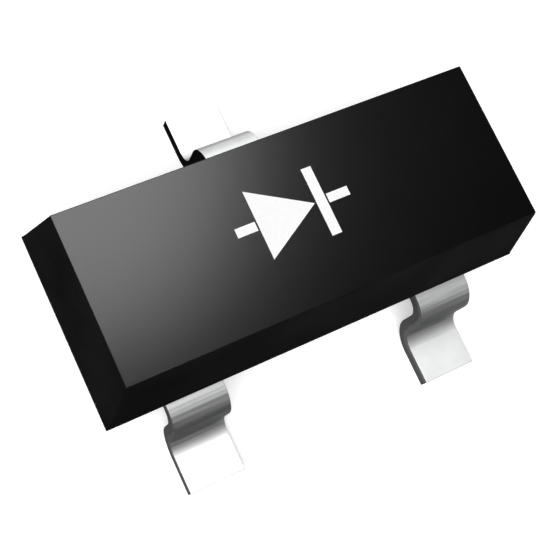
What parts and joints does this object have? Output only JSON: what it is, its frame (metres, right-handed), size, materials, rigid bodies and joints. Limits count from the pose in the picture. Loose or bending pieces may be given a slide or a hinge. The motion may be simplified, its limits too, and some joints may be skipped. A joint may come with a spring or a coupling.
{
  "type": "esd protection diode",
  "caption": "Surface-mount protection diode: black drafted case with two gull-wing leads at the front and one at the back, chip and bond wires inside.",
  "frame": {"origin": "centre of the footprint on the board plane, under the middle of the case", "axes": "+X along the case, with the left lead at -X; +Y towards the side with the single lead; +Z away from the board"},
  "size_m": [0.0032, 0.0026, 0.0012],
  "materials": {
    "moulded_resin": "black filled epoxy, finely matt from the mould",
    "tinned_lead": "satin tin plating over a copper alloy strip",
    "silicon": "polished silicon with metal contacts",
    "chip_adhesive": "silver-filled adhesive",
    "gold_wire": "drawn gold wire"
  },
  "bodies": {
    "root": {"case": "moulded_resin", "left_lead": "tinned_lead", "right_lead": "tinned_lead", "common_lead": "tinned_lead", "chip": "silicon", "chip_attach": "chip_adhesive", "left_wire": "gold_wire", "right_wire": "gold_wire"}
  },
  "joints": []
}
